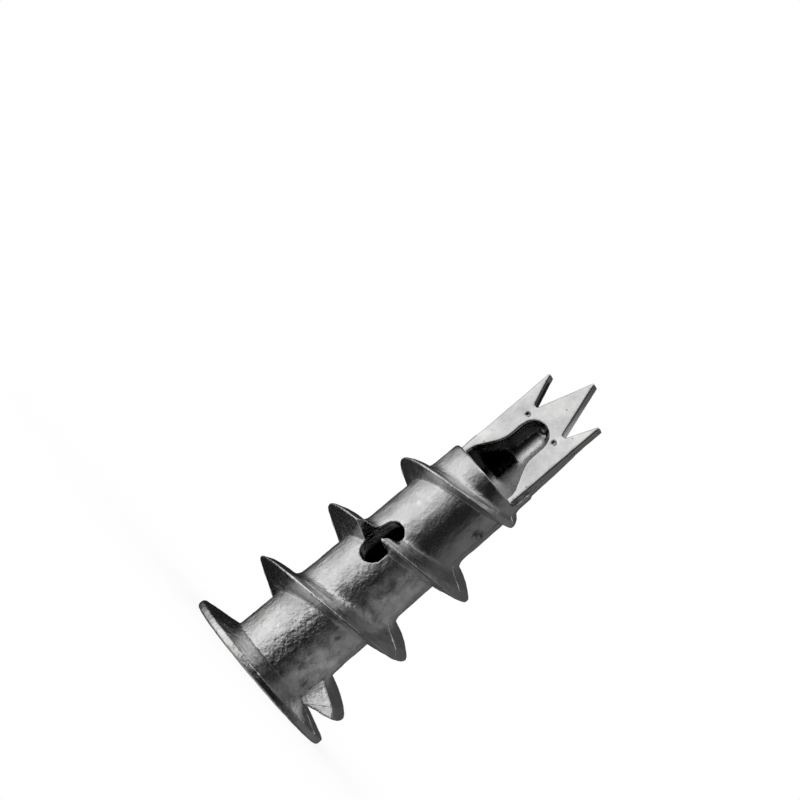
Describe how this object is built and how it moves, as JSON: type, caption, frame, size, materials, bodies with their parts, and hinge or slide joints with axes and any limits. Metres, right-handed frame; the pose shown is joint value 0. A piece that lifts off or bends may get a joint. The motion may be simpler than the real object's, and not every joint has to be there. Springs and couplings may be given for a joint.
{
  "type": "self-drilling plasterboard anchor",
  "caption": "Cast zinc wall anchor with a flange, a coarse external thread, a screw bore and a flat three-pointed drilling tip.",
  "frame": {"origin": "centre of the flange's outer face", "axes": "+Z along the anchor's axis from the flange to the drilling tip; the casting's parting plane is XZ; the open side of the tip looks along -Y"},
  "size_m": [0.0132, 0.0132, 0.032],
  "materials": {
    "zinc_casting": "satin as-cast zinc"
  },
  "bodies": {
    "root": {"anchor_body": "zinc_casting"}
  },
  "joints": []
}
